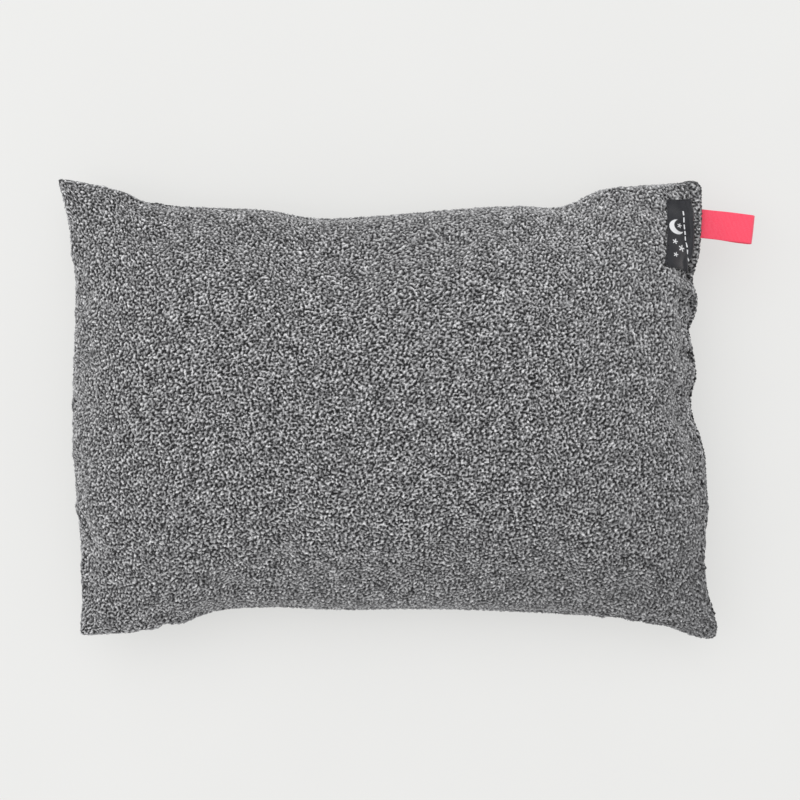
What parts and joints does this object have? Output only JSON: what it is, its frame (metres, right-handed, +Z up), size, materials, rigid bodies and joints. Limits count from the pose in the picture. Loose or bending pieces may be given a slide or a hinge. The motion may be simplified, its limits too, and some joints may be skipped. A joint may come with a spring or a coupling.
{
  "type": "camp pillow",
  "caption": "Stuffed rectangular pillow in a curly fleece cover with eared corners, a side zip, a woven label and a folded ribbon loop in the side seam.",
  "frame": {"origin": "centre of the flat area that the pillow rests on, on its back panel", "axes": "+X along the pillow's length towards the zipped side, +Y along its width towards the end with the ribbon and the label, +Z up through the front panel"},
  "size_m": [0.4878, 0.336, 0.116],
  "materials": {
    "fleece": "curly pile",
    "cover_thread": "matt",
    "zip_tape": "woven",
    "zip_coil": "satin",
    "zip_metal": "satin",
    "label": "satin weave",
    "label_thread": "satin",
    "ribbon": "grosgrain",
    "care_label": "satin",
    "inner_case": "plain weave",
    "inner_thread": "matt",
    "fibre_fill": "loose fibre"
  },
  "bodies": {
    "pillow": {"cover_front": "fleece", "cover_back": "fleece", "zip_facing_strip": "fleece", "cover_overlock_thread": "cover_thread", "zip_tape_front": "zip_tape", "zip_tape_back": "zip_tape", "zip_coil_front": "zip_coil", "zip_coil_back": "zip_coil", "zip_stitching": "cover_thread", "zip_top_stops": "zip_metal", "zip_bottom_stop": "zip_metal", "woven_label": "label", "label_stitching": "label_thread", "ribbon_tail": "ribbon", "care_label": "care_label", "inner_case_front": "inner_case", "inner_case_back": "inner_case", "inner_seam_thread": "inner_thread", "fibre_fill": "fibre_fill"},
    "slider": {"zip_slider": "zip_metal"},
    "puller": {"zip_puller": "zip_metal"},
    "ribbon": {"ribbon_loop": "ribbon"}
  },
  "joints": [
    {"name": "zip_slide", "type": "slide", "parent": "pillow", "child": "slider", "axis": [0, 1, 0], "range_m": [-0.236, 0], "deforming": ["zip_coil_front", "zip_coil_back"]},
    {"name": "puller_swing", "type": "hinge", "parent": "slider", "child": "puller", "pos_m": [0.20815, 0.11435, 0.0595], "axis": [0, 0, 1], "range_deg": [0, 155]},
    {"name": "ribbon_flex", "type": "hinge", "parent": "pillow", "child": "ribbon", "pos_m": [0.2262, 0.124, 0.0467], "axis": [-0.1392, -0.9903, 0], "range_deg": [-80, 75], "stiffness_Nm_per_rad": 0.002}
  ]
}
